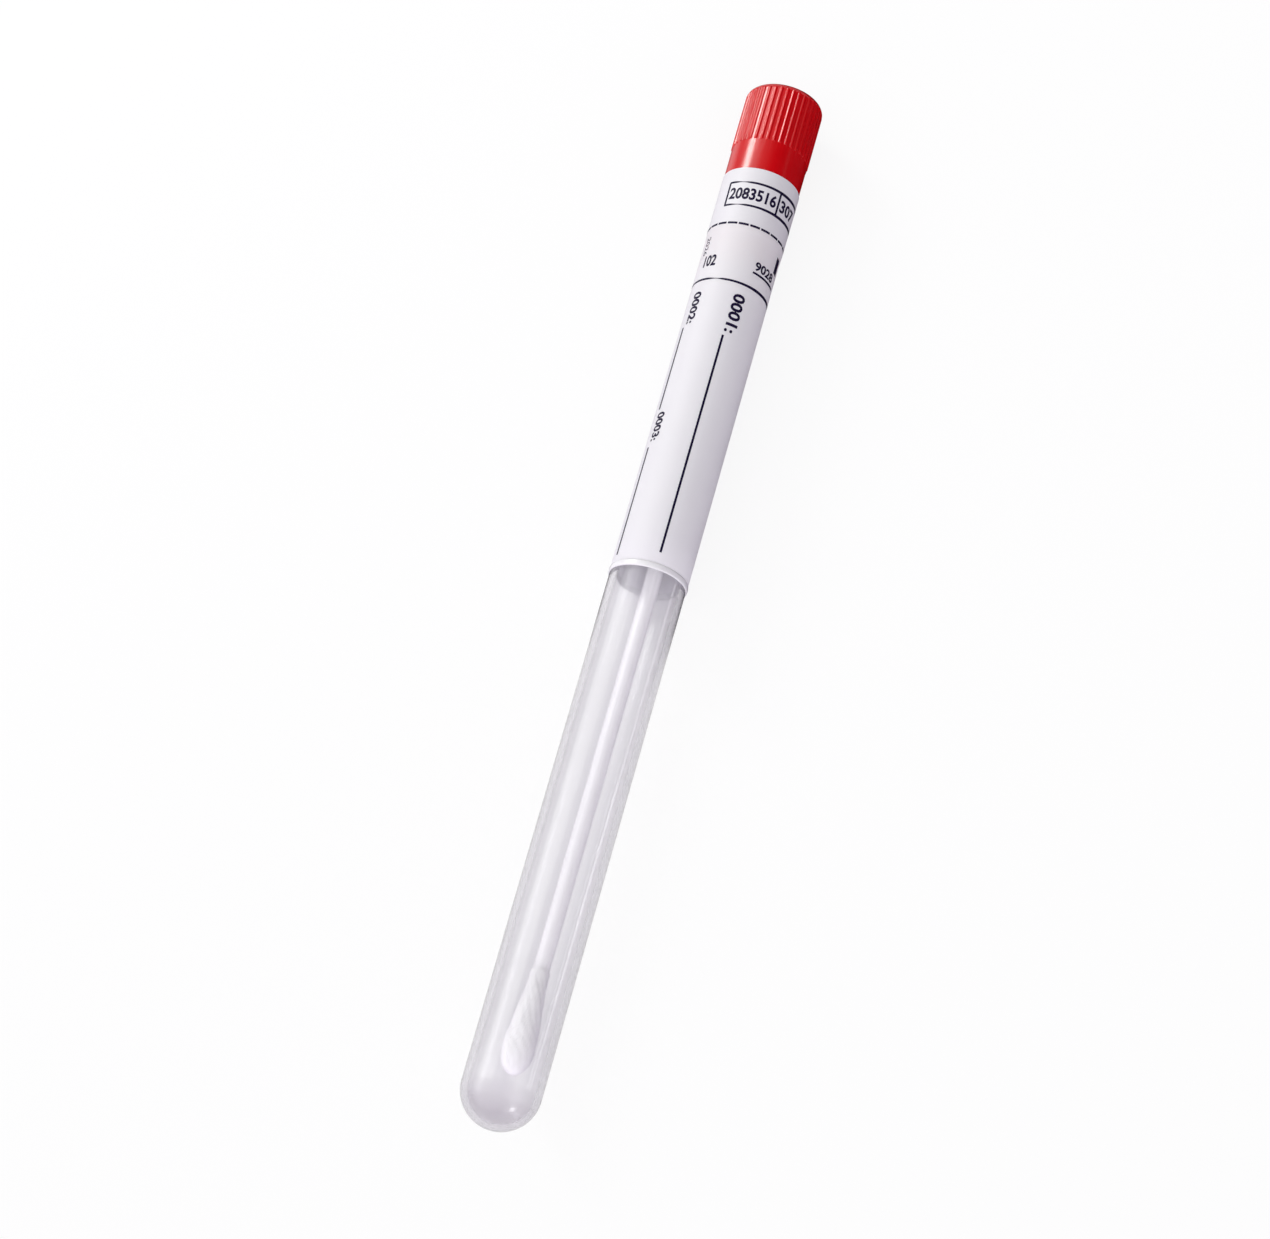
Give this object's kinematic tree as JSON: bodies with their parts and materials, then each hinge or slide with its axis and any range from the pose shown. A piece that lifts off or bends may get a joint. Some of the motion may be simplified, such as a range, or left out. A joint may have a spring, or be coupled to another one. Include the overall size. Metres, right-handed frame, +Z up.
{
  "type": "specimen swab tube",
  "caption": "Round-bottomed clear specimen tube with a push-in ribbed cap that carries a cotton-tipped swab down inside it, sealed by a wrap-round label.",
  "frame": {"origin": "below the middle of the whole length, on the surface that the closed tube lies on", "axes": "+Y along the tube towards the cap, +Z up"},
  "size_m": [0.0128, 0.1768, 0.0127],
  "materials": {
    "clear_plastic": "clear moulded plastic, faintly milky",
    "red_plastic": "glossy red moulded plastic",
    "label_film": "white satin label film with dark blue ruled lines",
    "white_plastic": "satin white moulded plastic",
    "cotton": "wound white cotton fibre"
  },
  "bodies": {
    "tube_body": {"tube": "clear_plastic", "label_tube_wrap": "label_film"},
    "cap_with_swab": {"cap": "red_plastic", "label_cap_band": "label_film", "swab_shaft": "white_plastic", "swab_bud": "cotton"}
  },
  "joints": [
    {"name": "cap_pull", "type": "slide", "parent": "tube_body", "child": "cap_with_swab", "axis": [0, 1, 0], "range_m": [0, 0.145]}
  ]
}
